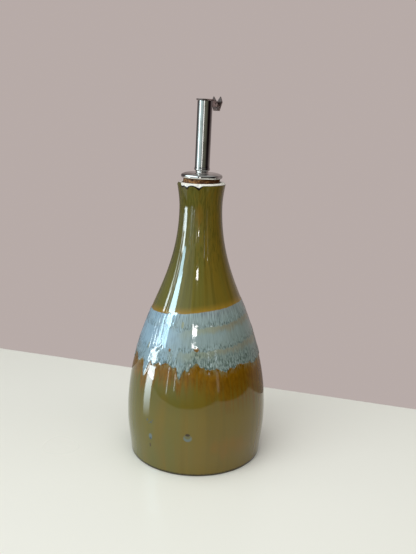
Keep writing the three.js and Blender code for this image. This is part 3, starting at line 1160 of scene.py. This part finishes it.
# %% [markdown]
# ## Floor
# The bottle stands on a pale, satin surface that shows again in its lower wall. An endless plane
# would mirror without an end, so the floor is a slab whose far edge lies where the wall shows it.

# %% Floor slab
FLOOR_PALE = (0.805, 0.797, 0.722)
FLOOR_PALER = (0.835, 0.828, 0.763)
PATCH_SIZE = 150.0
SLAB_TURN = -17.8  # degrees about the bottle
SLAB_BACK = 124.0
SLAB_FRONT = -285.0
SLAB_LEFT = -620.0
SLAB_RIGHT = 335.0
SLAB_THICK = 30.0
SLAB_EDGE = 4.0
SLAB_EDGE_STEPS = 4


def floor_paint():
    material, shader, point = new_material("pale floor paint")
    patch = noise(scaled(point, 1 / (PATCH_SIZE * MM)), 81, detail=1)
    plug(shader, "Base Color", mixed(patch, FLOOR_PALE, FLOOR_PALER))
    plug(shader, "Roughness", 0.24 + patch * 0.1)
    return material


def floor_slab():
    sides = Vector((SLAB_RIGHT - SLAB_LEFT, SLAB_BACK - SLAB_FRONT, SLAB_THICK)) * MM
    middle = Vector((SLAB_RIGHT + SLAB_LEFT, SLAB_BACK + SLAB_FRONT, -SLAB_THICK)) / 2 * MM
    turn = Matrix.Rotation(SLAB_TURN / DEGREES, 4, "Z")
    place = turn @ Matrix.Translation(middle) @ Matrix.Diagonal((*sides, 1.0))
    rounding = {"offset": SLAB_EDGE * MM, "segments": SLAB_EDGE_STEPS, "affect": "EDGES", "profile": 0.5}
    shape = bmesh.new()
    bmesh.ops.create_cube(shape, size=1.0)
    bmesh.ops.transform(shape, matrix=place, verts=shape.verts)
    bmesh.ops.bevel(shape, geom=shape.edges, **rounding)
    mesh = bpy.data.meshes.new("floor_slab")
    shape.to_mesh(mesh)
    shape.free()
    mesh.materials.append(floor_paint())
    return placed("floor_slab", mesh)


slab = floor_slab()
print("slab:", len(slab.data.vertices), "points")

# %% [markdown]
# ## Studio
# The room is bright at the left and dark at the right. A photographed room could be wrapped
# round the scene, but a ramp of tones by bearing is easier to tune. The camera alone sees a
# plain backdrop instead.

# %% Studio
BACKDROP = (0.475, 0.408, 0.390)
# What the wall reflects, by degrees from the front: negative is left
STUDIO = [
    (-180, (0.30, 0.25, 0.24)),
    (-150, (0.10, 0.085, 0.085)),
    (-108, (0.06, 0.06, 0.06)),
    (-97, (0.40, 0.45, 0.46)),
    (-62, (0.56, 0.70, 0.71)),
    (-45, (0.48, 0.60, 0.61)),
    (-28, (0.34, 0.41, 0.42)),
    (-9, (0.26, 0.29, 0.29)),
    (-5, (0.16, 0.16, 0.14)),
    (12, (0.13, 0.13, 0.105)),
    (38, (0.10, 0.10, 0.075)),
    (50, (0.04, 0.035, 0.03)),
    (57, (0.006, 0.003, 0.004)),
    (88, (0.006, 0.003, 0.004)),
    (102, (0.06, 0.045, 0.045)),
    (122, (0.13, 0.105, 0.105)),
    (150, (0.25, 0.21, 0.20)),
    (180, (0.34, 0.29, 0.28)),
]
CEILING = (0.28, 0.29, 0.29)
GLOOM = (0.03, 0.03, 0.03)
GLOOM_SHARE = 0.8
UNDERSIDE = (0.03, 0.028, 0.025)
LOW_BACK = (0.24, 0.205, 0.195)


def studio_world():
    world = bpy.data.worlds.new("soft studio")
    world.use_nodes = True
    bpy.context.scene.world = world
    tree = world.node_tree
    x, y, up = split(Wire.node(tree, "ShaderNodeTexCoord", output="Generated"))
    turn = x.math("ARCTAN2", -y) / math.tau + 0.5
    stops = [(bearing / 360 + 0.5, tone) for bearing, tone in STUDIO]
    walls = Wire.node(tree, "ShaderNodeValToRGB", {"stops": stops}, {0: turn})
    gloom = smooth(up, 0.06, 0.20) * smooth(y, -0.45, -0.80)
    room = mixed(gloom * GLOOM_SHARE, walls, GLOOM)
    room = mixed(smooth(up, 0.55, 0.85), room, CEILING)
    low = mixed(smooth(y, -0.1, 0.4), UNDERSIDE, LOW_BACK)
    room = mixed(smooth(up, -0.02, -0.25), room, low)
    by_camera = Wire.node(tree, "ShaderNodeLightPath", output="Is Camera Ray")
    plug(tree.nodes["Background"], "Color", mixed(by_camera, room, BACKDROP))


studio_world()
print("studio:", len(STUDIO), "tones round the bottle")

# %% [markdown]
# ## Windows and lamps
# The real wall mirrors a tall window in parts. One big lamp would light well and mirror badly, so
# panels that only gloss sees stand for the parts of the window, kept to single pieces by light
# linking. Others, which only shading sees, give the light itself.

# %% Windows and lamps
AIM = Vector((0, 0, 0.12))
FAR = 1.4
UPRIGHT = 90 / DEGREES
COOL = (0.52, 0.82, 1.0)
PALE = (0.80, 0.94, 1.0)
WHITE = (1.0, 0.98, 0.95)
ROSY = (1.0, 0.88, 0.86)
DAYLIGHT = (0.95, 0.99, 1.0)
LAMPLIGHT = (1.0, 0.97, 0.93)
EVEN_WHITE = (1.0, 1.0, 1.0)


def rectangle(name, width, height, radiance, tone, sees, shines_on=None):
    """A light for gloss or for shade, which may be kept to some pieces."""
    light = bpy.data.lights.new(name, "AREA")
    light.shape = "RECTANGLE"
    light.size = width
    light.size_y = height
    light.energy = 4 * radiance * width * height
    light.color = tone
    lamp = placed(name, light)
    lamp.visible_camera = False
    lamp.visible_diffuse = sees == "shade"
    lamp.visible_glossy = sees == "gloss"
    if shines_on:
        lamp.light_linking.receiver_collection = shines_on
    return lamp


def panel(name, bearing, width, low, high, *light):
    """An upright panel at a bearing from the front, between two elevations in degrees."""
    bottom = FAR * math.tan(low / DEGREES)
    top = FAR * math.tan(high / DEGREES)
    across = 2 * FAR * math.tan(width / 2 / DEGREES)
    lamp = rectangle(name, across, top - bottom, *light)
    angle = bearing / DEGREES
    lamp.location = AIM + Vector((FAR * math.sin(angle), -FAR * math.cos(angle), (bottom + top) / 2))
    lamp.rotation_euler = (UPRIGHT, 0, angle)


def only(name, pieces):
    """A list of pieces that a light may be kept to."""
    kept = bpy.data.collections.new(name)
    for piece in pieces:
        kept.objects.link(piece)
    return kept


# The window as the glaze shows it: bearing, width, lower and upper elevation, radiance, tone
WINDOW = [
    (-71.5, 18, 17, 42, 20, COOL),
    (-73.5, 13, 8, 17, 13, COOL),
    (-83, 9, 1, 8, 15, PALE),
    (-84.5, 16, -7, 1, 14, PALE),
    (-97, 2.5, -4, 17, 12, PALE),
    (-87, 1.6, 8, 40, 12, PALE),
    (-50, 1.2, -9, 9, 8, PALE),
    (-37, 1.2, -6, 9, 7, PALE),
    (-7, 7, 20.6, 23.9, 30, WHITE),
    (-13, 1.2, 4, 9, 6, WHITE),
    (31, 1.2, 15, 16.5, 16, WHITE),
    (21.5, 2.0, 4, 15.5, 4, PALE),
    (35.5, 2.0, 7, 13, 3.5, PALE),
    (35.8, 3.2, -6, 7, 0.7, PALE),
]
on_glaze = only("shown in the glaze", [bottle, cork])
for number, part in enumerate(WINDOW):
    panel("window_part_%d" % number, *part, "gloss", on_glaze)
panel("sky", -50, 60, 10, 45, 0.45, PALE, "gloss", on_glaze)
on_steel = only("shown in the steel", [flange, tube])
panel("steel_window", -74, 12, -25, 55, 1.7, PALE, "gloss", on_steel)
on_flange = only("shown in the flange", [flange])
panel("flange_glow", -64, 84, 12, 50, 1.7, PALE, "gloss", on_flange)
panel("flange_side", 105, 50, -5, 35, 0.11, ROSY, "gloss", on_flange)
panel("hinge_side", 75, 70, -25, 40, 0.30, ROSY, "gloss", only("shown in the hinge", hinge))
panel("left_rim", -125, 44, -5, 45, 0.12, PALE, "gloss", on_glaze)
panel("right_rim", 136, 40, -12, 40, 0.12, ROSY, "gloss", only("shown in the bottle", [bottle]))
panel("steel_slit", -9, 6, -25, 30, 1.3, WHITE, "gloss", on_steel)
panel("daylight", -38, 70, -2, 55, 1.5, DAYLIGHT, "shade")
panel("fill", 60, 60, 0, 50, 0.5, LAMPLIGHT, "shade")
print("panels:", len(bpy.data.lights))

# %% [markdown]
# ## Lamps near the bottle
# A far panel shows at nearly the same bearing in band and neck. Two reflections don't: a glow low
# at the left that fades towards the floor, and a small bright slit. Lamps close to the bottle
# make both. One lamp can't fade, so the glow is a row of them.

# %% Low glow, near slit and overhead panel
STRIP_PLACE = (-110, -38)
STRIP_WIDTH = 25.0
STRIP_LOW = 6.0
STRIP_HIGH = 64.0
STRIP_STEPS = 18
STRIP_GLOW = 11.5
STRIP_FADE = 1.2
NEAR_SLIT = Vector((-41, -300, 178)) * MM
NEAR_AIM = Vector((-2.5, -38.7, 90)) * MM
NEAR_WIDTH = 32.0
NEAR_HEIGHT = 9.0
NEAR_GLOW = 26
OVERHEAD = (-0.15, -0.25, 1.4)
OVERHEAD_SIDE = 1.3
OVERHEAD_GLOW = 1.9

step = (STRIP_HIGH - STRIP_LOW) / STRIP_STEPS
for number in range(STRIP_STEPS):
    share = (number + 0.5) / STRIP_STEPS
    glow = STRIP_GLOW * share**STRIP_FADE
    lamp = rectangle("low_strip_%d" % number, STRIP_WIDTH * MM, step * MM, glow, PALE, "gloss", on_glaze)
    lamp.location = Vector((*STRIP_PLACE, STRIP_LOW + (number + 0.5) * step)) * MM
    lamp.rotation_euler = (UPRIGHT, 0, -UPRIGHT)

slit = rectangle("near_slit", NEAR_WIDTH * MM, NEAR_HEIGHT * MM, NEAR_GLOW, WHITE, "gloss", on_glaze)
slit.location = NEAR_SLIT
slit.rotation_euler = (NEAR_AIM - NEAR_SLIT).to_track_quat("-Z", "Y").to_euler()

overhead = rectangle("overhead", OVERHEAD_SIDE, OVERHEAD_SIDE, OVERHEAD_GLOW, EVEN_WHITE, "shade")
overhead.location = OVERHEAD
print("lights in all:", len(bpy.data.lights))

# %% [markdown]
# ## Camera
# The bottle is seen from near and a little above. The camera was fitted to its outline and the
# ellipse of its foot: a place, three turns and a focal length.

# %% Camera
EYE = Vector((0.0, -447.2, 237.9)) * MM
PITCH, YAW, ROLL = 13.856, 0.790, -1.593  # degrees: down, right, anticlockwise
FOCAL_PIXELS = 659.1
IMAGE_HEIGHT = 554
SENSOR = 36.0


def viewpoint():
    camera = bpy.data.cameras.new("viewpoint")
    camera.sensor_width = SENSOR
    camera.lens = FOCAL_PIXELS * SENSOR / IMAGE_HEIGHT
    eye = placed("viewpoint", camera)
    turn = Matrix.Rotation(-YAW / DEGREES, 4, "Z") @ Matrix.Rotation((90 - PITCH) / DEGREES, 4, "X")
    eye.matrix_world = Matrix.Translation(EYE) @ turn @ Matrix.Rotation(-ROLL / DEGREES, 4, "Z")
    print("lens:", round(camera.lens, 2), "mm")
    return eye


bpy.context.scene.camera = viewpoint()
bpy.context.scene.view_settings.view_transform = "Standard"
